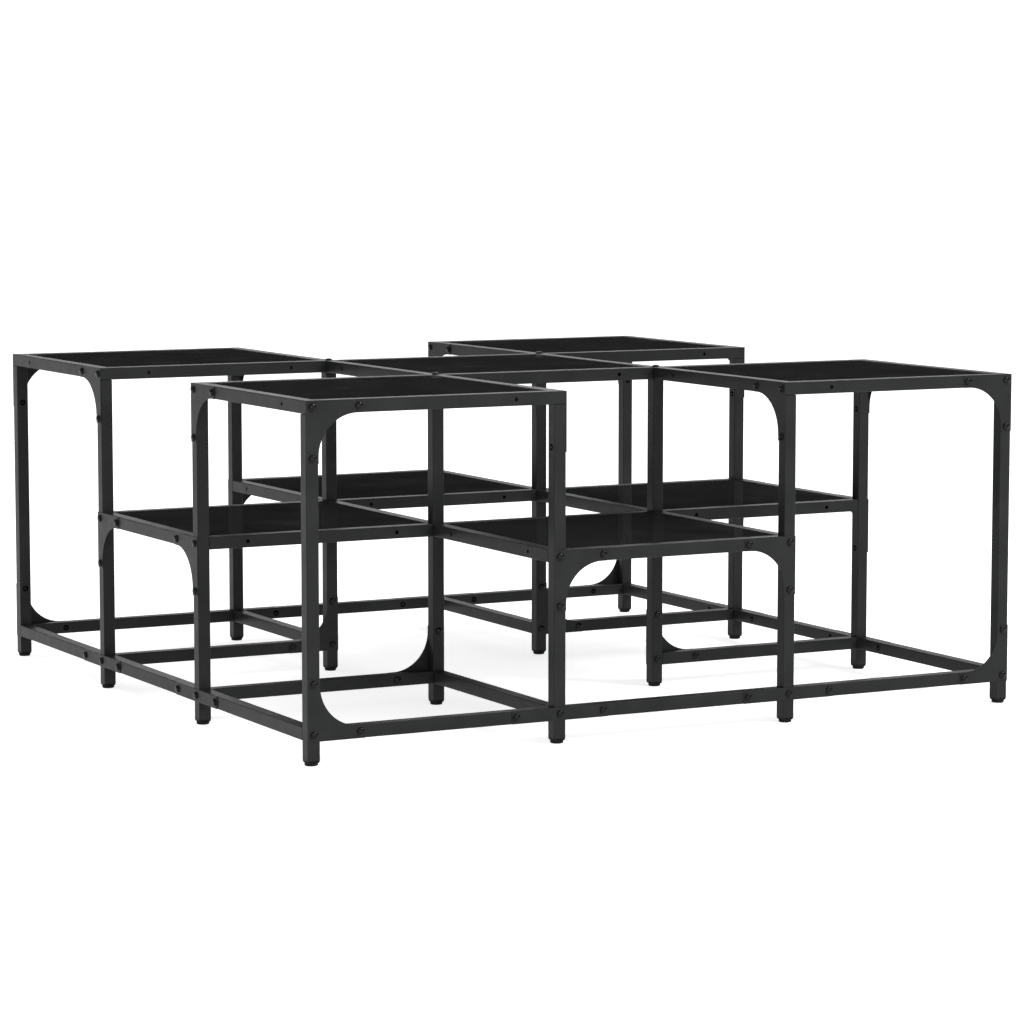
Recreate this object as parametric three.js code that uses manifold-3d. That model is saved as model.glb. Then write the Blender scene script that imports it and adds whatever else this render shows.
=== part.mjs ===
// Square coffee table on a three by three grid: four high glass tops and a high centre top,
// with four lower glass shelves between them. Black square steel tube, bolted with curved
// corner brackets. Millimetres, +Z up, origin on the floor under the middle of the table.
import * as THREE from 'three';
import { mergeVertices } from 'three/addons/utils/BufferGeometryUtils.js';
import Module from 'manifold-3d';

// Driving dimensions.
const SPAN = 1000; // outside width and depth of the tube framework
const HEIGHT = 430; // floor to the upper face of the top frames
const TUBE = 16; // side of the square tube
const WALL = 1; // thickness of the tube's wall
const GAP = 0.3; // air between two pieces that touch
const SHELF_TOP = 237; // upper face of the shelf frames
const BASE_BOTTOM = 29; // lower face of the base rails
const LEG_BOTTOM = 6; // cut end of the legs, above the feet
const END_PLATE = 2; // plate that closes the upper end of a leg
const GLASS = 5; // thickness of the glass
const GLASS_DROP = 0.5; // glass below the frame's upper face
const GLASS_CLEARANCE = 1; // air round the edge of the glass
const LEDGE = 2; // thickness of the corner ledges under the glass
const LEDGE_SIDE = 34; // reach of a ledge along each rail
const LEDGE_NOTCH = 4; // corner of a ledge cut away beside the leg
const LEDGE_BITE = 0.6; // depth of a ledge in the rail's wall, for the weld
const PLATE = 1; // thickness of the brackets and joining bars
const BOLT_PITCH = 60; // from a bracket's corner bolt to its other bolts
const PLATE_END = 6; // plate beyond its last bolt
const BRACKET_RADIUS = 50; // concave edge of a bracket
const BRACKET_STEPS = 5; // straight pieces in that edge
const HEAD_RADIUS = 5; // domed bolt head
const HEAD_HEIGHT = 3;
const HEAD_SHOULDER = 1.6; // height where the dome starts to close
const HEAD_SHOULDER_RADIUS = 4.3;
const SHANK_RADIUS = 2.5;
const SHANK_DEPTH = 7; // shank below the plate
const HOLE_RADIUS = 3.1; // clearance hole round a shank
const DRAIN_RADIUS = 2; // drain hole under a welded rail
const BOLT_SIDES = 6;
const FOOT_PAD_RADIUS = 8.2;
const FOOT_PAD_ROUND = 1.2; // rounding under the pad
const FOOT_PAD_HEIGHT = 3.6;
const FOOT_PAD_SIDES = 8;
const FOOT_PLUG_HEIGHT = 16; // part of the foot inside the leg

// Sizes that follow from them.
const PITCH = (SPAN - TUBE) / 3; // from one leg to the next
const HALF = TUBE / 2;
const LAST = 3; // index of the last row of legs
const TOP_BOTTOM = HEIGHT - TUBE;
const LEG_TOP = TOP_BOTTOM - GAP;
const OPENING = PITCH - TUBE; // clear width between two rails
const BRACKET_SIDE = HALF + BOLT_PITCH + PLATE_END;

const X = new THREE.Vector3(1, 0, 0);
const Y = new THREE.Vector3(0, 1, 0);
const Z = new THREE.Vector3(0, 0, 1);

const steel = new THREE.MeshStandardMaterial({ color: 0x2b2c2d, roughness: 0.5, metalness: 0.4 });
const glass = new THREE.MeshStandardMaterial({ color: 0x17191a, roughness: 0.06, metalness: 0 });
const rubber = new THREE.MeshStandardMaterial({ color: 0x0d0d0d, roughness: 0.75, metalness: 0 });
const bolt = new THREE.MeshStandardMaterial({ color: 0x1f2021, roughness: 0.35, metalness: 0.7 });

const wasm = await Module();
wasm.setup();

// --- shapes ---------------------------------------------------------------------------------

function solidOf(geometry) {
  const bare = geometry.clone();
  bare.deleteAttribute('normal');
  bare.deleteAttribute('uv');
  const merged = mergeVertices(bare);
  const vertProperties = merged.attributes.position.array;
  const triVerts = Uint32Array.from(merged.index.array);
  return new wasm.Manifold(new wasm.Mesh({ numProp: 3, vertProperties, triVerts }));
}

function geometryOf(solid) {
  const { vertProperties, triVerts } = solid.getMesh();
  const geometry = new THREE.BufferGeometry();
  geometry.setAttribute('position', new THREE.BufferAttribute(vertProperties, 3));
  geometry.setIndex(new THREE.BufferAttribute(triVerts, 1));
  geometry.computeVertexNormals();
  return geometry;
}

function block(low, high) {
  const size = high.clone().sub(low);
  const middle = high.clone().add(low).multiplyScalar(0.5);
  return solidOf(new THREE.BoxGeometry(size.x, size.y, size.z).translate(middle.x, middle.y, middle.z));
}

// The block between two corners, pulled in by a distance along each axis.
function shrunk(low, high, inset) {
  return block(low.clone().add(inset), high.clone().sub(inset));
}

// Turned shape about an axis that starts at a point; the profile is [radius, height] pairs.
function turned(profile, sides, point, axis) {
  const points = profile.map(([radius, height]) => new THREE.Vector2(radius, height));
  const geometry = new THREE.LatheGeometry(points, sides);
  geometry.applyQuaternion(new THREE.Quaternion().setFromUnitVectors(Y, axis));
  return solidOf(geometry.translate(point.x, point.y, point.z));
}

function rod(radius, sides, start, axis, length) {
  return turned([[0, 0], [radius, 0], [radius, length], [0, length]], sides, start, axis);
}

// Flat plate from an outline in two directions, rising along the third.
function plate(outline, thickness, origin, across, along, out) {
  const shape = new THREE.Shape(outline.map(([u, v]) => new THREE.Vector2(u, v)));
  const geometry = new THREE.ExtrudeGeometry(shape, { depth: thickness, bevelEnabled: false });
  const place = new THREE.Matrix4().makeBasis(across, along, out).setPosition(origin);
  return solidOf(geometry.applyMatrix4(place));
}

// --- the grid -------------------------------------------------------------------------------

// Lower left corner of the tube on a grid line, at a height.
function corner(i, j, z) {
  return new THREE.Vector3(i * PITCH - SPAN / 2, j * PITCH - SPAN / 2, z);
}

function legAxis(i, j, z) {
  return corner(i, j, z).add(new THREE.Vector3(HALF, HALF, 0));
}

const name = (word, i, j) => `${word}_${i}_${j}`;

// --- brackets, joining bars and their bolts -------------------------------------------------

// Points of the bracket's outline: u runs along the rail and v along the leg.
function bracketOutline() {
  const arc = [];
  const centre = TUBE + BRACKET_RADIUS;
  for (let step = 0; step <= BRACKET_STEPS; step += 1) {
    const turn = (step / BRACKET_STEPS) * (Math.PI / 2);
    arc.push([centre - BRACKET_RADIUS * Math.sin(turn), centre - BRACKET_RADIUS * Math.cos(turn)]);
  }
  return [[0, 0], [BRACKET_SIDE, 0], [BRACKET_SIDE, TUBE], ...arc, [TUBE, BRACKET_SIDE], [0, BRACKET_SIDE]];
}

// A bracket lies on the face of leg (i, j) that looks along `out`. `edge` is the height of the
// rail's far edge, `rail` the way the rail leaves, and `leg` the way the leg leaves.
// `inside` says that the heads are on the tube's other face.
function bracket(i, j, edge, rail, leg, out, inside = false) {
  const centre = legAxis(i, j, edge).addScaledVector(leg, HALF);
  const face = centre.clone().addScaledVector(out, HALF);
  const bolts = [0, 1, 2].map((n) => face.clone()
    .addScaledVector(rail, n === 1 ? BOLT_PITCH : 0)
    .addScaledVector(leg, n === 2 ? BOLT_PITCH : 0));
  const origin = face.clone().addScaledVector(rail, -HALF).addScaledVector(leg, -HALF);
  return { i, j, kind: 'bracket', origin, rail, leg, out, bolts, inside };
}

// A joining bar crosses leg (i, j) at the base and holds the rails on both sides of it.
function bar(i, j, along, out) {
  const face = legAxis(i, j, BASE_BOTTOM + HALF).addScaledVector(out, HALF);
  const bolts = [-1, 0, 1].map((n) => face.clone().addScaledVector(along, n * BOLT_PITCH));
  return { i, j, kind: 'bar', origin: face, along, out, bolts, inside: false };
}

const up = Z;
const down = Z.clone().negate();
const right = X;
const left = X.clone().negate();
const back = Y;
const front = Y.clone().negate();
const plates = [];
for (const [j, out, inward] of [[0, front, back], [LAST, back, front]]) {
  for (const [i, rail, inner, side] of [[0, right, 1, right], [LAST, left, 2, left]]) {
    plates.push(bracket(i, j, HEIGHT, rail, down, out));
    plates.push(bracket(i, j, BASE_BOTTOM, rail, up, out));
    plates.push(bracket(inner, j, SHELF_TOP, rail, down, out));
    plates.push(bracket(inner, j, HEIGHT, inward, down, side));
    plates.push(bar(inner, j, X, out));
  }
}
for (const [i, out, outward] of [[0, left, left], [LAST, right, right]]) {
  for (const [j, rail, away] of [[1, back, front], [2, front, back]]) {
    plates.push(bracket(i, j, HEIGHT, away, down, out));
    plates.push(bracket(i, j, SHELF_TOP, rail, down, out));
    plates.push(bar(i, j, Y, out));
    plates.push(bracket(i === 0 ? 1 : 2, j, BASE_BOTTOM, outward, up, rail, j === 1));
  }
}

const HEAD_PROFILE = [[0, 0], [HEAD_RADIUS, 0], [HEAD_SHOULDER_RADIUS, HEAD_SHOULDER], [0, HEAD_HEIGHT]];

// Bolt with its head's seat at a point, its head out along an axis and its shank behind.
function domedBolt(seat, axis, length) {
  const head = turned(HEAD_PROFILE, BOLT_SIDES, seat, axis);
  const sunk = seat.clone().addScaledVector(axis, -length);
  return head.add(rod(SHANK_RADIUS, BOLT_SIDES, sunk, axis, length + HEAD_SHOULDER));
}

// The plate of a bracket or bar with its bolts, one air gap off the tube's face.
function plateWithBolts(item) {
  const { origin, out, bolts, inside } = item;
  const lifted = origin.clone().addScaledVector(out, GAP);
  let solid;
  if (item.kind === 'bar') {
    const reach = BOLT_PITCH + PLATE_END;
    const outline = [[-reach, -HALF], [reach, -HALF], [reach, HALF], [-reach, HALF]];
    const across = item.along;
    solid = plate(outline, PLATE, lifted, across, out.clone().cross(across), out);
  } else {
    const rightHanded = item.rail.clone().cross(item.leg).dot(out) > 0;
    const [across, along] = rightHanded ? [item.rail, item.leg] : [item.leg, item.rail];
    solid = plate(bracketOutline(), PLATE, lifted, across, along, out);
  }
  for (const face of bolts) {
    if (inside) {
      const seat = face.clone().addScaledVector(out, -TUBE - GAP);
      solid = solid.add(domedBolt(seat, out.clone().negate(), TUBE + GAP * 2 + PLATE / 2));
    } else {
      const seat = face.clone().addScaledVector(out, GAP + PLATE);
      solid = solid.add(domedBolt(seat, out, GAP + PLATE + SHANK_DEPTH));
    }
  }
  return solid;
}

// Cuts the clearance holes for every bolt of another piece's brackets that enters this box.
function drilled(solid, low, high, isOwn) {
  let result = solid;
  const box = new THREE.Box3(low, high).expandByScalar(GAP);
  for (const item of plates.filter((one) => !isOwn(one))) {
    for (const face of item.bolts.filter((point) => box.containsPoint(point))) {
      const depth = item.inside ? TUBE + GAP * 2 : SHANK_DEPTH + GAP * 2;
      const start = face.clone().addScaledVector(item.out, -depth);
      result = result.subtract(rod(HOLE_RADIUS, BOLT_SIDES, start, item.out, depth + GAP * 2));
    }
  }
  return result;
}

// --- legs, welded leg frames and rails ------------------------------------------------------

const isInner = (i, j) => i > 0 && i < LAST && j > 0 && j < LAST;

function legFrame(i, from, to, welded) {
  const rows = from === to ? [from] : [from, to];
  let solid = null;
  for (const j of rows) {
    const legHigh = corner(i, j, LEG_TOP).add(new THREE.Vector3(TUBE, TUBE, 0));
    const leg = block(corner(i, j, LEG_BOTTOM), legHigh);
    solid = solid ? solid.add(leg) : leg;
  }
  const inset = new THREE.Vector3(WALL, WALL, 0);
  if (welded) {
    const railLow = corner(i, from, BASE_BOTTOM).add(new THREE.Vector3(0, WALL, 0));
    const railHigh = corner(i, to, BASE_BOTTOM + TUBE).add(new THREE.Vector3(TUBE, TUBE - WALL, 0));
    solid = solid.add(block(railLow, railHigh));
    const boreInset = new THREE.Vector3(WALL, TUBE - WALL, WALL);
    solid = solid.subtract(shrunk(railLow, railHigh, boreInset));
    const drain = legAxis(i, from, BASE_BOTTOM - WALL).addScaledVector(Y, PITCH / 2);
    solid = solid.subtract(rod(DRAIN_RADIUS, BOLT_SIDES, drain, Z, WALL * 3));
  }
  for (const j of rows) {
    const boreLow = corner(i, j, LEG_BOTTOM - WALL);
    const boreHigh = corner(i, j, LEG_TOP - END_PLATE).add(new THREE.Vector3(TUBE, TUBE, 0));
    solid = solid.subtract(shrunk(boreLow, boreHigh, inset));
    if (isInner(i, j)) {
      const under = legAxis(i, j, LEG_TOP - END_PLATE * 2);
      solid = solid.subtract(rod(HOLE_RADIUS, BOLT_SIDES, under, Z, END_PLATE * 3));
    }
  }
  const isOwn = (item) => item.i === i && rows.includes(item.j);
  const high = corner(i, to, LEG_TOP).add(new THREE.Vector3(TUBE, TUBE, 0));
  solid = drilled(solid, corner(i, from, LEG_BOTTOM), high, isOwn);
  for (const item of plates.filter(isOwn)) {
    solid = solid.add(plateWithBolts(item));
  }
  return solid;
}

// Tube with open ends between two neighbouring legs, at a height.
function openRail(i, j, direction, bottom) {
  const alongX = direction === X;
  const low = corner(i, j, bottom).addScaledVector(direction, TUBE + GAP);
  const high = corner(i, j, bottom + TUBE)
    .addScaledVector(direction, PITCH - GAP)
    .addScaledVector(alongX ? Y : X, TUBE);
  const inset = new THREE.Vector3(WALL, WALL, WALL).addScaledVector(direction, -WALL * 2);
  const solid = block(low, high).subtract(shrunk(low, high, inset));
  return { solid, low, high };
}

function baseRail(i, j, direction) {
  const { solid, low, high } = openRail(i, j, direction, BASE_BOTTOM);
  return drilled(solid, low, high, () => false);
}

// --- glass frames ---------------------------------------------------------------------------

// Ledges in the four corners of a cell: they tie its rails together and carry the glass.
function ledges(i, j, top) {
  const outline = [
    [-LEDGE_BITE, LEDGE_NOTCH],
    [LEDGE_NOTCH, LEDGE_NOTCH],
    [LEDGE_NOTCH, -LEDGE_BITE],
    [LEDGE_SIDE, -LEDGE_BITE],
    [-LEDGE_BITE, LEDGE_SIDE],
  ];
  const height = top - GLASS_DROP - GLASS - GAP - LEDGE;
  const start = corner(i, j, height).add(new THREE.Vector3(TUBE, TUBE, 0));
  let solid = null;
  for (const alongX of [1, -1]) {
    for (const alongY of [1, -1]) {
      const place = start.clone();
      if (alongX < 0) place.addScaledVector(X, OPENING);
      if (alongY < 0) place.addScaledVector(Y, OPENING);
      const sideX = X.clone().multiplyScalar(alongX);
      const sideY = Y.clone().multiplyScalar(alongY);
      const sides = alongX === alongY ? [sideX, sideY] : [sideY, sideX];
      const ledge = plate(outline, LEDGE, place, ...sides, Z);
      solid = solid ? solid.add(ledge) : ledge;
    }
  }
  return solid;
}

// Closed ring of tube over the legs of a corner cell.
function topRing(i, j) {
  const low = corner(i, j, TOP_BOTTOM);
  const high = corner(i + 1, j + 1, HEIGHT).add(new THREE.Vector3(TUBE, TUBE, 0));
  const through = new THREE.Vector3(TUBE, TUBE, -WALL);
  const bore = new THREE.Vector3(WALL, WALL, WALL);
  const core = new THREE.Vector3(TUBE - WALL, TUBE - WALL, WALL);
  const cavity = shrunk(low, high, bore).subtract(shrunk(low, high, core));
  let solid = block(low, high).subtract(shrunk(low, high, through)).subtract(cavity);
  solid = solid.add(ledges(i, j, HEIGHT));
  solid = drilled(solid, low, high, () => false);
  const screwAt = legAxis(i === 0 ? 1 : 2, j === 0 ? 1 : 2, TOP_BOTTOM - WALL);
  return solid.subtract(rod(HOLE_RADIUS, BOLT_SIDES, screwAt, Z, TUBE + WALL * 2));
}

// Four rails between four legs (or between four top rings), tied by their ledges.
function railFrame(i, j, top) {
  const bottom = top - TUBE;
  const rails = [
    openRail(i, j, X, bottom),
    openRail(i, j + 1, X, bottom),
    openRail(i, j, Y, bottom),
    openRail(i + 1, j, Y, bottom),
  ];
  let solid = ledges(i, j, top);
  for (const rail of rails) {
    solid = solid.add(drilled(rail.solid, rail.low, rail.high, () => false));
  }
  return solid;
}

function glassPane() {
  const side = OPENING - GLASS_CLEARANCE * 2;
  return new THREE.BoxGeometry(side, side, GLASS);
}

function paneCentre(i, j, top) {
  const middle = (TUBE + PITCH) / 2;
  return corner(i, j, top - GLASS_DROP - GLASS / 2).add(new THREE.Vector3(middle, middle, 0));
}

// --- feet and top screws --------------------------------------------------------------------

function foot() {
  const side = HALF - WALL - GAP;
  const pad = turned(
    [
      [0, 0],
      [FOOT_PAD_RADIUS - FOOT_PAD_ROUND, 0],
      [FOOT_PAD_RADIUS, FOOT_PAD_ROUND],
      [FOOT_PAD_RADIUS, FOOT_PAD_HEIGHT],
      [0, FOOT_PAD_HEIGHT],
    ],
    FOOT_PAD_SIDES,
    new THREE.Vector3(),
    Z,
  );
  const collarBottom = FOOT_PAD_HEIGHT - GAP;
  const collarTop = LEG_BOTTOM - GAP;
  const plugTop = collarTop + FOOT_PLUG_HEIGHT;
  const square = (half, bottom, top) => block(
    new THREE.Vector3(-half, -half, bottom),
    new THREE.Vector3(half, half, top),
  );
  return pad.add(square(HALF, collarBottom, collarTop)).add(square(side, collarTop - GAP, plugTop));
}

// --- the assembly ---------------------------------------------------------------------------

const table = new THREE.Group();

function put(label, geometry, material, position = new THREE.Vector3()) {
  const mesh = new THREE.Mesh(geometry, material);
  mesh.name = label;
  mesh.position.copy(position);
  table.add(mesh);
}

// Leg frames run from front to back. The two legs at the right of the front shelf have no
// rail between them at the base, so they are single.
for (let i = 0; i <= LAST; i += 1) {
  put(name('leg_frame_back', i, 2), geometryOf(legFrame(i, 2, LAST, true)), steel);
  if (i === 2) {
    put(name('leg', i, 0), geometryOf(legFrame(i, 0, 0, false)), steel);
    put(name('leg', i, 1), geometryOf(legFrame(i, 1, 1, false)), steel);
  } else {
    put(name('leg_frame_front', i, 0), geometryOf(legFrame(i, 0, 1, true)), steel);
  }
}

const footGeometry = geometryOf(foot());
for (let i = 0; i <= LAST; i += 1) {
  for (let j = 0; j <= LAST; j += 1) {
    put(name('foot', i, j), footGeometry, rubber, legAxis(i, j, 0));
    if (i < LAST && !(i === 1 && isInner(i, j))) {
      put(name('base_rail_x', i, j), geometryOf(baseRail(i, j, X)), steel);
    }
  }
}
for (const i of [0, LAST]) {
  put(name('base_rail_y', i, 1), geometryOf(baseRail(i, 1, Y)), steel);
}

const paneGeometry = glassPane();
for (let i = 0; i < LAST; i += 1) {
  for (let j = 0; j < LAST; j += 1) {
    const isCorner = i !== 1 && j !== 1;
    const isCentre = i === 1 && j === 1;
    const top = isCorner || isCentre ? HEIGHT : SHELF_TOP;
    if (isCorner) put(name('top_ring', i, j), geometryOf(topRing(i, j)), steel);
    else if (isCentre) put('top_frame_centre', geometryOf(railFrame(i, j, HEIGHT)), steel);
    else put(name('shelf_frame', i, j), geometryOf(railFrame(i, j, SHELF_TOP)), steel);
    const label = top === HEIGHT ? 'top_glass' : 'shelf_glass';
    put(name(label, i, j), paneGeometry, glass, paneCentre(i, j, top));
  }
}

const screwSeat = HEIGHT + GAP;
const screwLength = TUBE + END_PLATE + GAP * 4;
const screwGeometry = geometryOf(domedBolt(new THREE.Vector3(), Z, screwLength));
for (const i of [1, 2]) {
  for (const j of [1, 2]) {
    put(name('top_screw', i, j), screwGeometry, bolt, legAxis(i, j, screwSeat));
  }
}

export default table;
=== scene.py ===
# %% [markdown]
# # A black steel and glass coffee table
#
# The table stands on a grid of three by three cells. The corners and the centre have high glass
# tops, and the four cells between them have a lower shelf. Everything is square steel tube, held by
# curved corner brackets and domed bolts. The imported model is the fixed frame: it says where each
# tube, pane and foot is, and this lesson makes the fine surface around it.

# %% Load the frame
import math

import bmesh
import bpy
from mathutils import Matrix, Vector


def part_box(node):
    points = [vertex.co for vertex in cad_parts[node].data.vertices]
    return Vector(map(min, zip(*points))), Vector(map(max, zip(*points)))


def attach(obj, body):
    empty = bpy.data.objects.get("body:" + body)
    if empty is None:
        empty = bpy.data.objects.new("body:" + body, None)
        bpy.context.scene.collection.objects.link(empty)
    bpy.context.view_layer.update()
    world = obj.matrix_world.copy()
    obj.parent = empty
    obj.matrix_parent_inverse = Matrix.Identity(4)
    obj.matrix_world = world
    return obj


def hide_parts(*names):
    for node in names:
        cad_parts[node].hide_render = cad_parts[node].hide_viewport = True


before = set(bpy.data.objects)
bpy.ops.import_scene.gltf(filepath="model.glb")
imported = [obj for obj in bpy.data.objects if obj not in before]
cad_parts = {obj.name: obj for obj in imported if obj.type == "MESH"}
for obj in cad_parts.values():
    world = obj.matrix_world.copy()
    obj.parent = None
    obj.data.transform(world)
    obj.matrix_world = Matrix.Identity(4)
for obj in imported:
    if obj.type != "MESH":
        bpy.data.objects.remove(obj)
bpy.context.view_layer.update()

scene = bpy.context.scene
print("nodes in the frame:", len(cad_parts))

# %% [markdown]
# ## Measures
#
# A maker measures the job before cutting. The tube's side, the heights and the grid of legs are
# read from the frame's own nodes, so that nothing is typed twice. Only the small sizes that the
# frame shows coarsely, such as the roundness of an edge, are given here.

# %% Measures from the frame
MM = 0.001
X, Y, Z = Vector((1, 0, 0)), Vector((0, 1, 0)), Vector((0, 0, 1))
UP, DOWN, RIGHT, LEFT, BACK, FRONT = Z, -Z, X, -X, Y, -Y
SAME_PLACE = 1e-6  # closer than this, two points are one
LAST = 3  # legs are numbered from 0 to this, each way
LEGS = [(i, j) for i in range(LAST + 1) for j in range(LAST + 1)]

rail_low, rail_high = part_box("base_rail_x_0_0")
TUBE = rail_high.y - rail_low.y
HALF = TUBE / 2
BASE = rail_low.z
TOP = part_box("top_ring_0_0")[1].z
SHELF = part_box("shelf_frame_1_0")[1].z
LEG_LOW, LEG_HIGH = (corner.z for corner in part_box("leg_2_1"))


def leg_centre(i, j, height=0.0):
    low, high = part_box(f"foot_{i}_{j}")
    return Vector(((low.x + high.x) / 2, (low.y + high.y) / 2, height))


PITCH = leg_centre(1, 0).x - leg_centre(0, 0).x
print(f"tube {TUBE / MM:.1f} mm, from leg to leg {PITCH / MM:.1f} mm")
print(f"top {TOP / MM:.1f} mm and shelf {SHELF / MM:.1f} mm above the floor")

# %% Small sizes given here
WALL = 1.0 * MM  # of the tube
TUBE_ROUND = 1.0 * MM  # on the tube's long edges
CUT_EDGE = 0.25 * MM  # broken edge of a cut end or a plate
PLATE = 1.0 * MM  # thickness of brackets and bars
BOLT_PITCH = 60 * MM  # from one bolt of a plate to the next
PLATE_END = 6.0 * MM  # from the last bolt to the plate's end
BRACKET_ROUND = 50 * MM  # radius of a bracket's arc
HEAD_RADIUS = 4.9 * MM
HEAD_HEIGHT = 2.9 * MM
SHANK_RADIUS = 2.3 * MM
SHANK_DEPTH = 17.6 * MM  # from under the head to the tip
FAR_HOLE_RADIUS = 4.2 * MM
FAR_HOLE_DEPTH = 2 * MM
SPARE_HOLE_RADIUS = 2.5 * MM
SPARE_HOLE_DEPTH = 4 * MM

# %% [markdown]
# ## The camera
#
# The camera stands low, in front of the left front corner, and looks a little down. A long lens
# from over four metres away keeps the legs almost parallel.

# %% Camera
CAMERA_PLACE = Vector((-2.139, -4.118, 0.727))
CAMERA_HEADING = math.radians(27.82)
CAMERA_TILT = math.radians(6.14)
LENS = 120.7
SENSOR = 36
FAR_CLIP = 200

lens = bpy.data.cameras.new("camera")
lens.lens = LENS
lens.sensor_width = SENSOR
lens.clip_end = FAR_CLIP
camera = bpy.data.objects.new("camera", lens)
camera.location = CAMERA_PLACE
camera.rotation_euler = (math.pi / 2 - CAMERA_TILT, 0, -CAMERA_HEADING)
scene.collection.objects.link(camera)
scene.camera = camera
print("camera stands", round(CAMERA_PLACE.length, 2), "m from the table's foot")

# %% [markdown]
# ## Skins over rings
#
# A tube, a pane and a foot are all stacks of outlines: each outline is a ring of points, and a skin
# joins each ring to the next. Blender could bevel a box instead, but a stack gives the rounded tube
# corner, the cut edge and the open bore in one go, and every point is where it was meant to be.

# %% Outlines
CORNER_STEPS = 4
CIRCLE_STEPS = 28
FINEST_ROUND = 0.3 * MM


def quarter_turn(steps):
    """The angles of a quarter turn, from nothing up to the whole of it."""
    return [step / steps * math.pi / 2 for step in range(steps + 1)]


def rounded_square(width, depth, radius, steps=CORNER_STEPS):
    points = []
    for quarter, (side_u, side_v) in enumerate(((1, 1), (-1, 1), (-1, -1), (1, -1))):
        centre_u = side_u * (width / 2 - radius)
        centre_v = side_v * (depth / 2 - radius)
        for step in range(steps + 1):
            turn = (quarter + step / steps) * math.pi / 2
            points.append((centre_u + radius * math.cos(turn), centre_v + radius * math.sin(turn)))
    return points


def circle(radius, steps=CIRCLE_STEPS):
    turns = [2 * math.pi * step / steps for step in range(steps)]
    return [(radius * math.cos(turn), radius * math.sin(turn)) for turn in turns]


def lift(outline, height):
    return [Vector((u, v, height)) for u, v in outline]


# %% A skin over a stack of rings
def skin(rings, bored=False):
    """Joins each ring to the next. A bored form has no ends: its last ring meets its first."""
    form = bmesh.new()
    rows = [[form.verts.new(point) for point in ring] for ring in rings]
    pairs = list(zip(rows, rows[1:]))
    if bored:
        pairs.append((rows[-1], rows[0]))
    else:
        form.faces.new(rows[0])
        form.faces.new(rows[-1])
    for near, far in pairs:
        for k in range(len(near)):
            after = (k + 1) % len(near)
            form.faces.new((near[k], near[after], far[after], far[k]))
    bmesh.ops.recalc_face_normals(form, faces=form.faces)
    return form


# %% Placing and joining forms
def frame_of(origin, out, across=None):
    """Matrix that turns a form's own Z to `out` and its X to `across`, at `origin`."""
    out = out.normalized()
    if across is None:
        across = X if abs(out.x) < 0.5 else Y
    along = out.cross(across)
    turned = Matrix((across, along, out)).transposed().to_4x4()
    return Matrix.Translation(origin) @ turned


def joined(forms):
    whole = bmesh.new()
    for form in forms:
        part = bpy.data.meshes.new("part")
        form.to_mesh(part)
        form.free()
        whole.from_mesh(part)
        bpy.data.meshes.remove(part)
    return whole


# %% [markdown]
# ## From a form to a finished piece
#
# A real tube reflects a flat face flatly and only its rounded edge bends the light. Smooth shading
# alone would smear that bend over the whole face. A Weighted Normal modifier leans each normal
# towards the larger face, which keeps flats flat. Each piece then rides on the table's only body,
# is told its finish, and hides the coarse nodes it stands for.

# %% Finished pieces
SHARP = math.radians(35)
FLAT_WEIGHT = 60
made = {}


def finished(name, form, coat, nodes=()):
    mesh = bpy.data.meshes.new(name)
    form.to_mesh(mesh)
    form.free()
    mesh.shade_smooth()
    mesh.set_sharp_from_angle(angle=SHARP)
    mesh.materials.append(coat)
    piece = bpy.data.objects.new(name, mesh)
    scene.collection.objects.link(piece)
    weighted = piece.modifiers.new("flat faces stay flat", "WEIGHTED_NORMAL")
    weighted.keep_sharp = True
    weighted.weight = FLAT_WEIGHT
    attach(piece, "root")
    if nodes:
        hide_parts(*nodes)
    made[name] = piece
    return piece


# %% [markdown]
# ## Drilling
#
# The tube has round holes: some stand opposite a bolt, and the spare ones show as small dark dots.
# A dot could be painted, but a real hole has a lit rim and a dark inside from every side, so
# each one is cut with an exact boolean before the tube becomes a piece.

# %% Drill a form
DRILL_STEPS = 20


def rod(start, out, radius, length):
    outline = circle(radius, DRILL_STEPS)
    form = skin([lift(outline, 0), lift(outline, length)])
    form.transform(frame_of(start, out))
    return form


def mesh_object(name, form):
    mesh = bpy.data.meshes.new(name)
    form.to_mesh(mesh)
    form.free()
    body = bpy.data.objects.new(name, mesh)
    scene.collection.objects.link(body)
    return body


def drilled(form, holes):
    """The form less its holes, each (place on the face, way out of it, radius, depth)."""
    if not holes:
        return form
    rods = []
    for place, out, radius, depth in holes:
        rods.append(rod(place - out * depth, out, radius, depth + WALL))
    work = mesh_object("work", form)
    cutter = mesh_object("cutter", joined(rods))
    cut = work.modifiers.new("holes", "BOOLEAN")
    cut.operation = "DIFFERENCE"
    cut.solver = "EXACT"
    cut.object = cutter
    bpy.context.view_layer.update()
    result = work.evaluated_get(bpy.context.evaluated_depsgraph_get()).to_mesh()
    out_form = bmesh.new()
    out_form.from_mesh(result)
    for body in (work, cutter):
        mesh = body.data
        bpy.data.objects.remove(body)
        bpy.data.meshes.remove(mesh)
    return out_form


# %% [markdown]
# ## Helpers for the finishes
#
# Each finish is made the same way: two close tones that wander into each other, a roughness that
# changes from place to place, and one or two layers of bumps. The helpers below add one of these
# each, so that a finish reads as a short recipe.

# %% Node helpers
def new_finish(name):
    finish = bpy.data.materials.new(name)
    finish.use_nodes = True
    tree = finish.node_tree
    return finish, tree, tree.nodes["Principled BSDF"]


def noise(tree, scale, detail=3.0):
    place = tree.nodes.get("Texture Coordinate") or tree.nodes.new("ShaderNodeTexCoord")
    grain = tree.nodes.new("ShaderNodeTexNoise")
    grain.inputs["Scale"].default_value = scale
    grain.inputs["Detail"].default_value = detail
    tree.links.new(place.outputs["Object"], grain.inputs["Vector"])
    return grain.outputs["Fac"]


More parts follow.
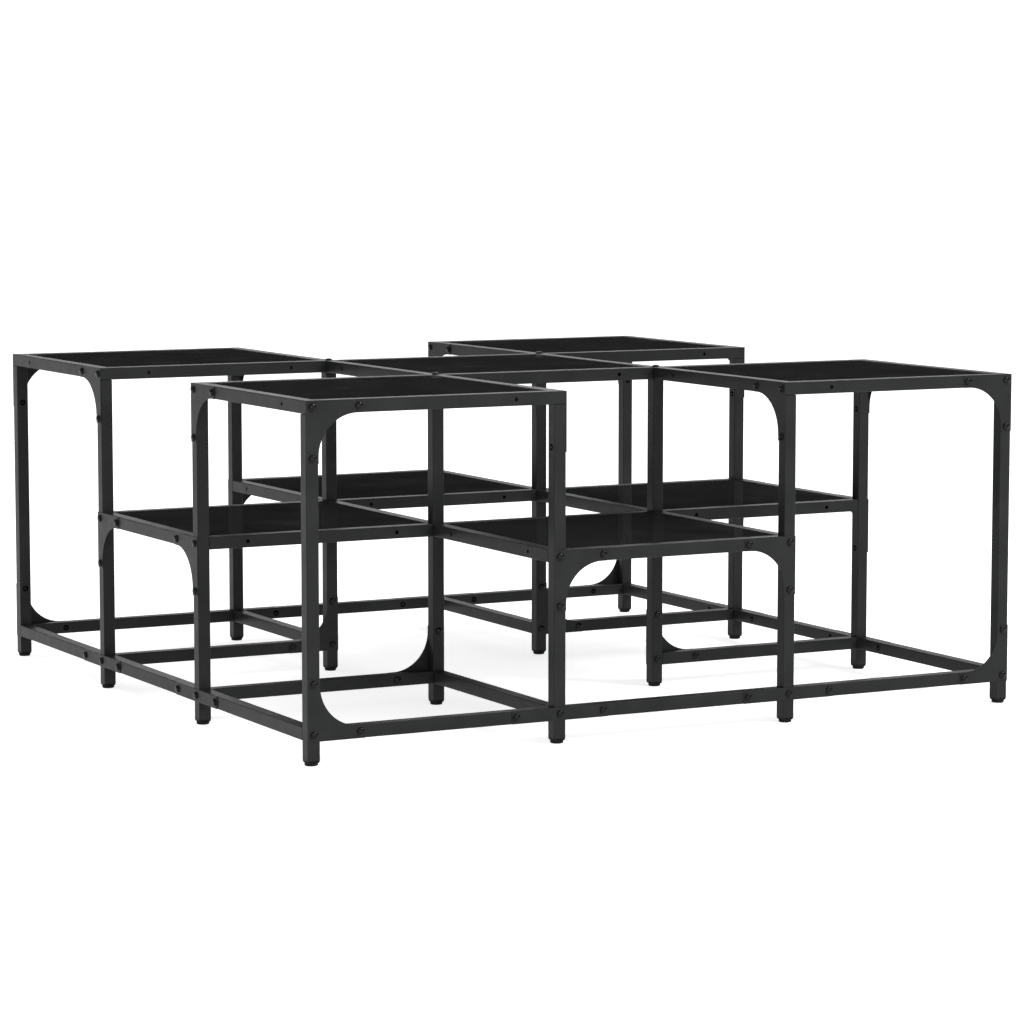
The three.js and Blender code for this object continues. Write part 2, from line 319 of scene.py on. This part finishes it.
def between(tree, value, low, high, spread=0.2):
    """Stretches a noise's middle range to run from low to high."""
    stretch = tree.nodes.new("ShaderNodeMapRange")
    stretch.inputs["From Min"].default_value = 0.5 - spread
    stretch.inputs["From Max"].default_value = 0.5 + spread
    stretch.inputs["To Min"].default_value = low
    stretch.inputs["To Max"].default_value = high
    tree.links.new(value, stretch.inputs["Value"])
    return stretch.outputs["Result"]


def two_tones(tree, value, dark, light):
    blend = tree.nodes.new("ShaderNodeMix")
    blend.data_type = "RGBA"
    blend.inputs["A"].default_value = (*dark, 1)
    blend.inputs["B"].default_value = (*light, 1)
    tree.links.new(value, blend.inputs["Factor"])
    return blend.outputs["Result"]


def bumps(tree, layers):
    """Chains bump nodes, each layer (height, strength, distance in metres)."""
    normal = None
    for height, strength, distance in layers:
        bump = tree.nodes.new("ShaderNodeBump")
        bump.inputs["Strength"].default_value = strength
        bump.inputs["Distance"].default_value = distance
        tree.links.new(height, bump.inputs["Height"])
        if normal:
            tree.links.new(normal, bump.inputs["Normal"])
        normal = bump.outputs["Normal"]
    return normal


def dress(tree, shader, colour, roughness, normal, level):
    """Links a recipe to its shader. The level is how much light a face mirrors head on."""
    tree.links.new(colour, shader.inputs["Base Color"])
    tree.links.new(roughness, shader.inputs["Roughness"])
    tree.links.new(normal, shader.inputs["Normal"])
    shader.inputs["Specular IOR Level"].default_value = level


# %% [markdown]
# ## Powder coat
#
# The steel is powder coated: black, satin, and very finely pebbled, because the powder flows
# together in an oven and never quite levels. Three things make it: a base that wanders slightly in
# darkness, a roughness that changes from place to place, and a bump at the scale of the pebbles,
# about one millimetre, over a slower orange peel.

# %% Powder coat
COAT_TONES = (0.0128, 0.0135, 0.0133), (0.0174, 0.0181, 0.0179)
COAT_ROUGHNESS = 0.29, 0.37
COAT_LEVEL = 0.08
CLOUDS, PATCHES, ORANGE_PEEL, PEBBLES = 22, 60, 260, 950  # scales, from broad to fine
PEEL_BUMP = 0.25, 0.12 * MM
PEBBLE_BUMP = 0.3, 0.04 * MM


def powder_coat():
    finish, tree, shader = new_finish("black powder coat")
    tone = between(tree, noise(tree, CLOUDS), 0, 1)
    rough = between(tree, noise(tree, PATCHES), *COAT_ROUGHNESS)
    peel = noise(tree, ORANGE_PEEL, 1.0)
    pebbles = noise(tree, PEBBLES, 2.0)
    uneven = bumps(tree, [(peel, *PEEL_BUMP), (pebbles, *PEBBLE_BUMP)])
    dress(tree, shader, two_tones(tree, tone, *COAT_TONES), rough, uneven, COAT_LEVEL)
    return finish


black_coat = powder_coat()

# %% [markdown]
# ## Black glass
#
# The panes are black tempered glass, so dark that nothing shows through. What tells them from
# paint is the clean reflection, a faint waviness left by the tempering rollers, and a ground edge
# that scatters light. Wiping leaves very weak streaks, which only touch the roughness.

# %% Black glass
GLASS_TONES = (0.0158, 0.0165, 0.0164), (0.0172, 0.0179, 0.0178)
GLASS_ROUGHNESS = 0.035, 0.085
GLASS_LEVEL = 0.2
TINT, ROLLER_WAVES, STREAKS = 3, 7, 14
WAVE_BUMP = 0.08, 0.6 * MM


def black_glass():
    finish, tree, shader = new_finish("black glass")
    tone = between(tree, noise(tree, TINT), 0, 1)
    rough = between(tree, noise(tree, STREAKS, 5.0), *GLASS_ROUGHNESS)
    wavy = bumps(tree, [(noise(tree, ROLLER_WAVES, 0.0), *WAVE_BUMP)])
    dress(tree, shader, two_tones(tree, tone, *GLASS_TONES), rough, wavy, GLASS_LEVEL)
    return finish


pane_black = black_glass()

# %% Ground glass edge
EDGE_TONES = (0.010, 0.013, 0.013), (0.022, 0.027, 0.027)
EDGE_ROUGHNESS = 0.28, 0.42
EDGE_LEVEL = 0.5
GRIT = 1800
GRIT_BUMP = 0.2, 0.03 * MM


def ground_edge():
    finish, tree, shader = new_finish("ground glass edge")
    grit = noise(tree, GRIT, 2.0)
    rough = between(tree, grit, *EDGE_ROUGHNESS)
    ground = bumps(tree, [(grit, *GRIT_BUMP)])
    dress(tree, shader, two_tones(tree, grit, *EDGE_TONES), rough, ground, EDGE_LEVEL)
    return finish


pane_edge = ground_edge()

# %% [markdown]
# ## Bolts and feet
#
# The bolts are blackened and tumbled, so they are smoother than the coat round them and catch a
# small bright spot on the dome. The feet are moulded plastic, the flattest black of all, with the
# fine spark-eroded grain of the mould.

# %% Bolt finish
BOLT_TONES = (0.0018, 0.0019, 0.0020), (0.0045, 0.0046, 0.0048)
BOLT_ROUGHNESS = 0.17, 0.22
BOLT_LEVEL = 0.14
WEAR, TUMBLING, SCRATCHES = 420, 700, 1500
SCRATCH_BUMP = 0.12, 0.02 * MM


def blackened_bolt():
    finish, tree, shader = new_finish("blackened bolt")
    wear = between(tree, noise(tree, WEAR), 0, 1)
    rough = between(tree, noise(tree, TUMBLING), *BOLT_ROUGHNESS)
    scratched = bumps(tree, [(noise(tree, SCRATCHES), *SCRATCH_BUMP)])
    dress(tree, shader, two_tones(tree, wear, *BOLT_TONES), rough, scratched, BOLT_LEVEL)
    return finish


bolt_black = blackened_bolt()

# %% Foot finish
FOOT_TONES = (0.0022, 0.0022, 0.0024), (0.0045, 0.0045, 0.0048)
FOOT_ROUGHNESS = 0.5, 0.68
FOOT_LEVEL = 0.12
MOULD_GRAIN = 1600
GRAIN_BUMP = 0.35, 0.05 * MM


def moulded_foot():
    finish, tree, shader = new_finish("moulded black plastic")
    grain = noise(tree, MOULD_GRAIN, 2.0)
    rough = between(tree, grain, *FOOT_ROUGHNESS)
    grained = bumps(tree, [(grain, *GRAIN_BUMP)])
    dress(tree, shader, two_tones(tree, grain, *FOOT_TONES), rough, grained, FOOT_LEVEL)
    return finish


foot_black = moulded_foot()

# %% [markdown]
# ## Where the brackets go
#
# Each bracket is a flat plate over a joint of two tubes: one arm on the rail, one on the leg, and a
# concave edge between. Three bolts hold it, at the corner and sixty millimetres along each arm. A
# joining bar is the straight kind: it crosses a leg at the base and holds the rail on each side.
# The list of fixings is made by loops, because the table repeats itself round its middle.

# %% Kinds of fixings
fixings = []


def add_bracket(kind, i, j, edge, rail, leg, out, heads_opposite=False):
    corner = leg_centre(i, j, edge) + leg * HALF + out * HALF
    bolts = [corner, corner + rail * BOLT_PITCH, corner + leg * BOLT_PITCH]
    fixings.append({
        "name": f"{kind}_{i}_{j}", "at": (i, j), "corner": corner, "rail": rail, "leg": leg,
        "out": out, "bolts": bolts, "opposite": heads_opposite, "shape": "bracket",
    })


def add_bar(i, j, along, out):
    corner = leg_centre(i, j, BASE + HALF) + out * HALF
    bolts = [corner + along * BOLT_PITCH * step for step in (-1, 0, 1)]
    fixings.append({
        "name": f"base_bar_{i}_{j}", "at": (i, j), "corner": corner, "rail": along, "leg": UP,
        "out": out, "bolts": bolts, "opposite": False, "shape": "bar",
    })


# %% List of fixings
for j, out, inward in ((0, FRONT, BACK), (LAST, BACK, FRONT)):
    for i, rail, inner in ((0, RIGHT, 1), (LAST, LEFT, 2)):
        add_bracket("bracket_top", i, j, TOP, rail, DOWN, out)
        add_bracket("bracket_base", i, j, BASE, rail, UP, out)
        add_bracket("bracket_shelf", inner, j, SHELF, rail, DOWN, out)
        add_bracket("bracket_inner_top", inner, j, TOP, inward, DOWN, rail)
        add_bar(inner, j, X, out)
for i, inner, out in ((0, 1, LEFT), (LAST, 2, RIGHT)):
    for j, rail in ((1, BACK), (2, FRONT)):
        add_bracket("bracket_side_top", i, j, TOP, -rail, DOWN, out)
        add_bracket("bracket_side_shelf", i, j, SHELF, rail, DOWN, out)
        add_bracket("bracket_inner_base", inner, j, BASE, out, UP, rail, heads_opposite=j == 1)
        add_bar(i, j, Y, out)
for shape in ("bracket", "bar"):
    print(f"{shape}s:", sum(fixing["shape"] == shape for fixing in fixings))

# %% [markdown]
# ## Straight tubes
#
# A cut tube is the outline of a rounded square, carried along and bored out by an inner outline one
# millimetre inside it. Its ends have a fine broken edge. Opposite each bolt the far wall has a hole
# wider than the shank, so a dark ring shows round the bolt's tip.

# %% Straight tube
def straight_tube(start, end):
    length = (end - start).length
    stations = [(0, CUT_EDGE), (CUT_EDGE, 0), (length - CUT_EDGE, 0), (length, CUT_EDGE)]
    stations += [(length, WALL), (0, WALL)]
    rings = []
    for along, inset in stations:
        side = TUBE - 2 * inset
        rings.append(lift(rounded_square(side, side, max(TUBE_ROUND - inset, FINEST_ROUND)), along))
    form = skin(rings, bored=True)
    form.transform(frame_of(start, end - start))
    return form


# %% Holes opposite the bolts
WITHIN = 0.9 * HALF  # short of the tube's side, so that no neighbour's bolt counts


def far_holes(start, end):
    """Holes opposite each plate, where the tips of the bolts come out."""
    reach = Vector((WITHIN, WITHIN, WITHIN))
    low = Vector(map(min, start, end)) - reach
    high = Vector(map(max, start, end)) + reach
    holes = []
    for fixing in fixings:
        out = fixing["out"]
        for bolt in fixing["bolts"]:
            middle = bolt - out * HALF
            inside = all(low[k] < middle[k] < high[k] for k in range(3))
            if inside and not fixing["opposite"]:
                holes.append((middle - out * HALF, -out, FAR_HOLE_RADIUS, FAR_HOLE_DEPTH))
    return holes


def drilled_tube(start, end):
    return drilled(straight_tube(start, end), far_holes(start, end))


# %% Legs
leg_nodes = {}
for i, j in LEGS:
    if i == 2 and j < 2:
        leg_nodes[i, j] = f"leg_{i}_{j}"
    else:
        leg_nodes[i, j] = f"leg_frame_front_{i}_0" if j < 2 else f"leg_frame_back_{i}_2"
for (i, j), node in leg_nodes.items():
    form = drilled_tube(leg_centre(i, j, LEG_LOW), leg_centre(i, j, LEG_HIGH))
    finished(f"leg_tube_{i}_{j}", form, black_coat, [node])
print("legs:", len(leg_nodes))

# %% [markdown]
# ## Base rails
#
# The rails near the floor tie the legs in pairs. Those from front to back are welded between two
# legs, and the others are bolted. One pair of legs, right of the front shelf, has none. Their ends
# stop at the legs' faces, so the joint shows as a fine line, as it does on the real frame.

# %% Bolted rails
bolted = [node for node in sorted(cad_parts) if node.startswith("base_rail_")]
for node in bolted:
    low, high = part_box(node)
    centre = (low + high) / 2
    along = X if "_x_" in node else Y
    reach = along * (abs((high - low).dot(along)) / 2)
    form = drilled_tube(centre - reach, centre + reach)
    finished(node.replace("base_rail", "rail"), form, black_coat, [node])
print("bolted base rails:", len(bolted))

# %% Welded rails
BASE_MIDDLE = BASE + HALF
welded = [node for node in sorted(set(leg_nodes.values())) if node.startswith("leg_frame_")]
for node in welded:
    i = int(node.split("_")[-2])
    j = 0 if "front" in node else 2
    start = leg_centre(i, j, BASE_MIDDLE) + Y * HALF
    end = leg_centre(i, j + 1, BASE_MIDDLE) - Y * HALF
    finished(f"rail_welded_{i}_{j}", drilled_tube(start, end), black_coat, [node])
print("welded base rails:", len(welded))

# %% [markdown]
# ## Spare holes
#
# Every rail of a top or a shelf is drilled alike, sixty millimetres from the middle of each leg,
# so that one kind of rail fits anywhere. Where no bracket uses a hole it stays open. The function
# below works out all of a cell's holes and leaves out those that a bolt fills.

# %% Spare holes of a cell
SAME_HOLE = 3 * MM


def is_used(place):
    return any((bolt - place).length < SAME_HOLE for f in fixings for bolt in f["bolts"])


def spare_holes(i, j, top):
    holes = []
    for along, out, rows in (
        (X, FRONT, ((i, j), (i + 1, j))),
        (X, BACK, ((i, j + 1), (i + 1, j + 1))),
        (Y, LEFT, ((i, j), (i, j + 1))),
        (Y, RIGHT, ((i + 1, j), (i + 1, j + 1))),
    ):
        for (a, b), way in zip(rows, (along, -along)):
            place = leg_centre(a, b, top - HALF) + out * HALF + way * BOLT_PITCH
            if not is_used(place):
                holes.append((place, out, SPARE_HOLE_RADIUS, SPARE_HOLE_DEPTH))
    return holes


# %% [markdown]
# ## Ledges under the glass
#
# A small plate in each corner of a frame carries the pane and keeps the frame square. It is welded
# to both rails and can be seen only from below. A cell's corners are counted round from its left
# front one, each with its steps from that corner and the ways that lead from it into the cell.

# %% Ledges
LEDGE = 2.0 * MM
LEDGE_SIDE = 34 * MM
LEDGE_NOTCH = 4 * MM
EDGE_STEPS = 2
CELL_CORNERS = ((0, 0, 1, 1), (1, 0, -1, 1), (1, 1, -1, -1), (0, 1, 1, -1))
pane_low, pane_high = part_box("top_glass_0_0")
GLASS_DROP = TOP - pane_high.z
GLASS_THICK = pane_high.z - pane_low.z


def plate_form(outline, thickness, origin, out, across):
    """A flat plate with a fine broken edge, from an outline of (across, up) points."""
    form = skin([lift(outline, 0), lift(outline, thickness)])
    rims = [e for e in form.edges if abs(e.verts[0].co.z - e.verts[1].co.z) < SAME_PLACE]
    bmesh.ops.bevel(form, geom=rims, offset=CUT_EDGE, segments=EDGE_STEPS,
                    affect="EDGES", profile=0.5)
    form.transform(frame_of(origin, out, across))
    return form


def ledges(i, j, top):
    height = top - GLASS_DROP - GLASS_THICK - LEDGE
    forms = []
    for step_x, step_y, side_x, side_y in CELL_CORNERS:
        outline = [(0, LEDGE_NOTCH), (LEDGE_NOTCH, LEDGE_NOTCH), (LEDGE_NOTCH, 0)]
        outline += [(LEDGE_SIDE, 0), (0, LEDGE_SIDE)]
        outline = [(u * side_x, v * side_y) for u, v in outline]
        if side_x == side_y:
            outline.reverse()
        place = leg_centre(i + step_x, j + step_y, height)
        place += Vector((side_x * HALF, side_y * HALF, 0))
        forms.append(plate_form(outline, LEDGE, place, Z, X))
    return forms


# %% [markdown]
# ## Top rings
#
# Over each corner cell the tube goes round as one closed ring with mitred corners, and it sits on
# top of the legs. Each point of the tube's outline is carried to the four corners along their
# diagonals, which is exactly what a mitre saw does. Only the outer upright corner is then softened.

# %% Top ring
MITRE_ROUND = 0.7 * MM
MITRE_STEPS = 3


def mitred_ring(low, high):
    outline = [(u + HALF, v + HALF) for u, v in rounded_square(TUBE, TUBE, TUBE_ROUND)]
    corners, rings = [], []
    for step_x, step_y, side_x, side_y in CELL_CORNERS:
        x, y = (low, high)[step_x].x, (low, high)[step_y].y
        corners.append(Vector((x, y)))
        rings.append([Vector((x + side_x * u, y + side_y * u, low.z + v)) for u, v in outline])
    form = skin(rings, bored=True)
    upright = []
    for edge in form.edges:
        a, b = (vert.co for vert in edge.verts)
        ends = [any((end.xy - c).length < SAME_PLACE for c in corners) for end in (a, b)]
        if all(ends) and abs(a.z - b.z) > HALF:
            upright.append(edge)
    bmesh.ops.bevel(form, geom=upright, offset=MITRE_ROUND, segments=MITRE_STEPS,
                    affect="EDGES", profile=0.5)
    return form


for i in (0, 2):
    for j in (0, 2):
        node = f"top_ring_{i}_{j}"
        ring = drilled(mitred_ring(*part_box(node)), spare_holes(i, j, TOP))
        whole = joined([ring, *ledges(i, j, TOP)])
        finished(f"top_frame_{i}_{j}", whole, black_coat, [node])

# %% [markdown]
# ## Shelf frames and the centre frame
#
# A shelf has four rails that fit between four legs, flush with them. The centre frame is the same,
# but high up between the corners of the four rings. Its own corners are the rings' corners, so it
# needs no legs, and the ledges hold its rails together.

# %% Rail frames
RAIL_GAP = 0.3 * MM


def is_in_rail(hole, start, across):
    """Whether a hole is in the rail that begins at `start` and has a side facing `across`."""
    place, out = hole[:2]
    return abs((place - start).dot(across)) < TUBE and abs(out.dot(across)) > 0.5


def rail_frame(i, j, top):
    spare = spare_holes(i, j, top)
    forms = []
    for along, across, a, b in ((X, Y, i, j), (X, Y, i, j + 1), (Y, X, i, j), (Y, X, i + 1, j)):
        start = leg_centre(a, b, top - HALF) + along * (HALF + RAIL_GAP)
        end = start + along * (PITCH - TUBE - 2 * RAIL_GAP)
        holes = [hole for hole in spare if is_in_rail(hole, start, across)]
        forms.append(drilled(straight_tube(start, end), holes))
    return joined(forms + ledges(i, j, top))


for i, j in ((1, 0), (0, 1), (2, 1), (1, 2)):
    node = f"shelf_frame_{i}_{j}"
    form = rail_frame(i, j, SHELF)
    finished(f"shelf_rails_{i}_{j}", form, black_coat, [node])
centre_form = rail_frame(1, 1, TOP)
finished("centre_rails", centre_form, black_coat, ["top_frame_centre"])
print("frames: 4 rings, 4 shelves and 1 centre")

# %% [markdown]
# ## Glass panes
#
# Each pane lies inside its frame, half a millimetre below it, with a millimetre of air all round.
# Its corners are slightly rounded and its long edges have the narrow ground arris that tempered
# glass must have. The arris and the edge get the ground finish, and the two faces the polished one.

# %% Panes
PANE_ROUND = 2.5 * MM
PANE_STEPS = 6
ARRIS = 0.7 * MM
POLISHED, GROUND = 0, 1


def pane(node, name):
    low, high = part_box(node)
    size = high - low
    rings = []
    for height, inset in ((0, ARRIS), (ARRIS, 0), (size.z - ARRIS, 0), (size.z, ARRIS)):
        width, depth = size.x - 2 * inset, size.y - 2 * inset
        rings.append(lift(rounded_square(width, depth, PANE_ROUND - inset, PANE_STEPS), height))
    form = skin(rings)
    form.transform(Matrix.Translation(((low.x + high.x) / 2, (low.y + high.y) / 2, low.z)))
    for face in form.faces:
        face.material_index = POLISHED if len(face.verts) > 4 else GROUND
    piece = finished(name, form, pane_black, [node])
    piece.data.materials.append(pane_edge)
    return piece


for node in sorted(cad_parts):
    if "_glass_" in node:
        pane(node, node.replace("glass", "pane"))

# %% [markdown]
# ## Brackets and bars
#
# A bracket is cut from sheet one millimetre thick. Its outline has two straight arms as wide as
# the tube and one arc between them, drawn with enough short chords to look round. Both faces have
# a broken edge, which is what catches the light along the curve.

# %% Outlines of the plates
ARC_STEPS = 28
ARM = HALF + BOLT_PITCH + PLATE_END


def bracket_outline():
    centre = TUBE + BRACKET_ROUND
    arc = []
    for turn in quarter_turn(ARC_STEPS):
        u = centre - BRACKET_ROUND * math.sin(turn)
        arc.append((u, centre - BRACKET_ROUND * math.cos(turn)))
    return [(0, 0), (ARM, 0), (ARM, TUBE), *arc, (TUBE, ARM), (0, ARM)]


def bar_outline():
    reach = BOLT_PITCH + PLATE_END
    return [(-reach, 0), (reach, 0), (reach, TUBE), (-reach, TUBE)]


# %% Plates
for fixing in fixings:
    rail, leg, out = fixing["rail"], fixing["leg"], fixing["out"]
    if fixing["shape"] == "bracket":
        right_handed = rail.cross(leg).dot(out) > 0
        outline, across = bracket_outline(), rail if right_handed else leg
        origin = fixing["corner"] - (rail + leg) * HALF
    else:
        outline, across = bar_outline(), rail
        origin = fixing["corner"] - out.cross(across) * HALF
    form = plate_form(outline, PLATE, origin, out, across)
    finished(fixing["name"], form, black_coat, [leg_nodes[fixing["at"]]])

# %% [markdown]
# ## Domed bolts
#
# The head is a low dome on a narrower neck, turned on a lathe, so a dark line runs round it. The
# shank runs through the tube, and its rounded tip shows in the wider hole of the far wall. Each
# bracket's three bolts are one piece, since they are always fitted together. At two of the inner
# legs the bolts come from the other side, and their tips end in the plate.

# %% One bolt
DOME_RINGS = 7
NECK_RADIUS = HEAD_RADIUS - 0.9 * MM
NECK_HEIGHT = 0.5 * MM
RIM_EDGE = 0.1 * MM
RIM_HEIGHT = 0.8 * MM
TIP_RINGS = 4
TIP_HEIGHT = 1.2 * MM


def dome_rings():
    profile = [(NECK_RADIUS, 0), (NECK_RADIUS, NECK_HEIGHT)]
    profile += [(HEAD_RADIUS - RIM_EDGE, NECK_HEIGHT), (HEAD_RADIUS, NECK_HEIGHT + RIM_EDGE)]
    for turn in quarter_turn(DOME_RINGS)[:-1]:
        height = RIM_HEIGHT + (HEAD_HEIGHT - RIM_HEIGHT) * math.sin(turn)
        profile.append((HEAD_RADIUS * math.cos(turn), height))
    return [lift(circle(radius), height) for radius, height in profile]


def domed_bolt(seat, out, length):
    head = skin(dome_rings())
    head.transform(frame_of(seat, out))
    rings = [lift(circle(SHANK_RADIUS, DRILL_STEPS), 0)]
    for turn in quarter_turn(TIP_RINGS)[:-1]:
        height = length - TIP_HEIGHT * (1 - math.sin(turn))
        rings.append(lift(circle(SHANK_RADIUS * math.cos(turn), DRILL_STEPS), height))
    shank = skin(rings)
    shank.transform(frame_of(seat, -out))
    return [head, shank]


# %% Bolts in the plates
for fixing in fixings:
    out = fixing["out"]
    forms = []
    for place in fixing["bolts"]:
        if fixing["opposite"]:
            forms += domed_bolt(place - out * TUBE, -out, TUBE + PLATE / 2)
        else:
            forms += domed_bolt(place + out * PLATE, out, SHANK_DEPTH)
    node = leg_nodes[fixing["at"]]
    finished("bolts_" + fixing["name"], joined(forms), bolt_black, [node])

# %% Screws in the inner corners of the top rings
for i in (1, 2):
    for j in (1, 2):
        node = f"top_screw_{i}_{j}"
        form = joined(domed_bolt(leg_centre(i, j, TOP), Z, TUBE))
        finished(f"screw_{i}_{j}", form, bolt_black, [node])
print("bolts:", sum(len(fixing["bolts"]) for fixing in fixings), "and 4 screws")

# %% [markdown]
# ## Feet
#
# A foot is a plug pushed into the leg, with a square collar under the tube's end and a round pad
# below it. The collar tapers in to the pad, and the pad's lower edge is rounded so that it slides
# over a floor without catching. The collar's shape is written as rises and as how much narrower
# than the tube it is there, in millimetres.

# %% Foot sizes
PAD_RADIUS = 8.1 * MM
PAD_ROUND = 1.7 * MM
PAD_EDGE = 0.5 * MM
PAD_TOP = 4.1 * MM
PAD_RINGS = 6
PAD_STEPS = 40
COLLAR_LOW = 3.6 * MM
COLLAR_HIGH = LEG_LOW - 0.3 * MM
COLLAR_ROUND = 1.2 * MM
TAPER = ((0.0, 2.4), (0.5, 1.2), (1.1, 0.4))  # up from the collar's low edge
SHOULDER = ((-0.3, 0.2), (0.0, 0.8))  # and at its high edge
PLUG = TUBE - 2 * WALL - 0.6 * MM
PLUG_TAPER = 0.8 * MM


# %% Feet
def foot_form(centre, low, high):
    stack = [(COLLAR_LOW + rise * MM, TUBE - less * MM) for rise, less in TAPER]
    stack += [(COLLAR_HIGH + rise * MM, TUBE - less * MM) for rise, less in SHOULDER]
    stack += [(COLLAR_HIGH, PLUG), (high, PLUG - PLUG_TAPER)]
    collar = [lift(rounded_square(side, side, COLLAR_ROUND), height) for height, side in stack]
    pad = []
    for turn in quarter_turn(PAD_RINGS):
        radius = PAD_RADIUS - PAD_ROUND * (1 - math.sin(turn))
        pad.append(lift(circle(radius, PAD_STEPS), low + PAD_ROUND * (1 - math.cos(turn))))
    pad.append(lift(circle(PAD_RADIUS, PAD_STEPS), PAD_TOP - PAD_EDGE))
    pad.append(lift(circle(PAD_RADIUS - PAD_EDGE, PAD_STEPS), PAD_TOP))
    form = joined([skin(collar), skin(pad)])
    form.transform(Matrix.Translation(centre))
    return form


for i, j in LEGS:
    low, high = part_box(f"foot_{i}_{j}")
    form = foot_form(leg_centre(i, j), low.z, high.z)
    finished(f"foot_pad_{i}_{j}", form, foot_black, [f"foot_{i}_{j}"])
print("pieces made:", len(made))

# %% [markdown]
# ## The studio
#
# The table stands on a wide, pale floor that glows a little of its own, so that the table's shadow
# stays faint. The light comes from a white dome overhead, which falls evenly on the floor however
# far away it is, so the floor has no visible end. Low down the dome is dark: black glass looks
# black only when it has something dark to reflect. The camera itself sees plain white behind the
# floor. Four soft lamps add the bright spots on the bolts, light the legs behind the first row, and
# draw the pale line along the rails' upper faces.

# %% Floor
FLOOR_TONES = (0.79, 0.79, 0.79), (0.81, 0.81, 0.81)
FLOOR_ROUGHNESS = 0.9
FLOOR_GLOW = 0.7
FLOOR_CLOUDS = 4
FLOOR_RADIUS = 40
FLOOR_THICK = 0.02
FLOOR_STEPS = 64


def pale_floor():
    finish, tree, shader = new_finish("pale floor")
    tone = between(tree, noise(tree, FLOOR_CLOUDS), 0, 1)
    tree.links.new(two_tones(tree, tone, *FLOOR_TONES), shader.inputs["Base Color"])
    shader.inputs["Roughness"].default_value = FLOOR_ROUGHNESS
    shader.inputs["Specular IOR Level"].default_value = 0.0
    shader.inputs["Emission Color"].default_value = (1, 1, 1, 1)
    shader.inputs["Emission Strength"].default_value = FLOOR_GLOW
    return finish


floor_outline = circle(FLOOR_RADIUS, FLOOR_STEPS)
floor_form = skin([lift(floor_outline, -FLOOR_THICK), lift(floor_outline, 0)])
floor_object = mesh_object("studio_floor", floor_form)
floor_object.data.materials.append(pale_floor())

# %% Soft lamps
LAMPS = (  # name, place, width, height, watts
    ("lamp_right", (2.7, -3.5, 3.2), 0.8, 0.8, 150),
    ("lamp_front", (-0.5, -6.0, 1.2), 5.0, 1.0, 105),
    ("lamp_back_left", (-2.4, 3.4, 3.4), 1.0, 1.0, 15),
    ("lamp_back", (2.5, 4.8, 1.9), 3.0, 0.8, 20),
)
AIM = Vector((0, 0, TOP / 2))

for name, place, width, height, watts in LAMPS:
    lamp = bpy.data.lights.new(name, "AREA")
    lamp.shape = "RECTANGLE"
    lamp.size, lamp.size_y = width, height
    lamp.energy = watts
    holder = bpy.data.objects.new(name, lamp)
    holder.location = place
    holder.rotation_euler = (AIM - Vector(place)).to_track_quat("-Z", "Y").to_euler()
    scene.collection.objects.link(holder)
print("lamps:", len(LAMPS))

# %% [markdown]
# ## The dome
#
# The dome is a ramp over the height of a direction, from the horizon (0) to straight overhead (1).
# Each band is a height and a brightness. A thin pale band at the horizon carries on the floor,
# then comes the dark that the glass reflects, and from there the dome grows white.

# %% Dome of light
DOME = (
    (0.00, 0.75),
    (0.03, 0.012),
    (0.125, 0.012),
    (0.40, 1.0),
    (1.00, 1.0),
)
DOME_STRENGTH = 0.84
BACKDROP = 1.3

world = bpy.data.worlds.new("studio")
world.use_nodes = True
scene.world = world
sky, wires = world.node_tree.nodes, world.node_tree.links
background = sky["Background"]
background.inputs["Strength"].default_value = DOME_STRENGTH
way = sky.new("ShaderNodeTexCoord")
rise = sky.new("ShaderNodeSeparateXYZ")
ramp = sky.new("ShaderNodeValToRGB")
seen = sky.new("ShaderNodeLightPath")
backdrop = sky.new("ShaderNodeMix")
backdrop.data_type = "RGBA"
backdrop.inputs["B"].default_value = (BACKDROP, BACKDROP, BACKDROP, 1)
wires.new(way.outputs["Generated"], rise.inputs["Vector"])
wires.new(rise.outputs["Z"], ramp.inputs["Fac"])
wires.new(ramp.outputs["Color"], backdrop.inputs["A"])
wires.new(seen.outputs["Is Camera Ray"], backdrop.inputs["Factor"])
wires.new(backdrop.outputs["Result"], background.inputs["Color"])
bands = ramp.color_ramp.elements
for _ in range(len(DOME) - len(bands)):
    bands.new(0.5)
for band, (place, light) in zip(bands, DOME):
    band.position = place
    band.color = (light, light, light, 1)
scene.view_settings.view_transform = "Standard"
print("dome of", len(DOME), "bands, strength", DOME_STRENGTH)
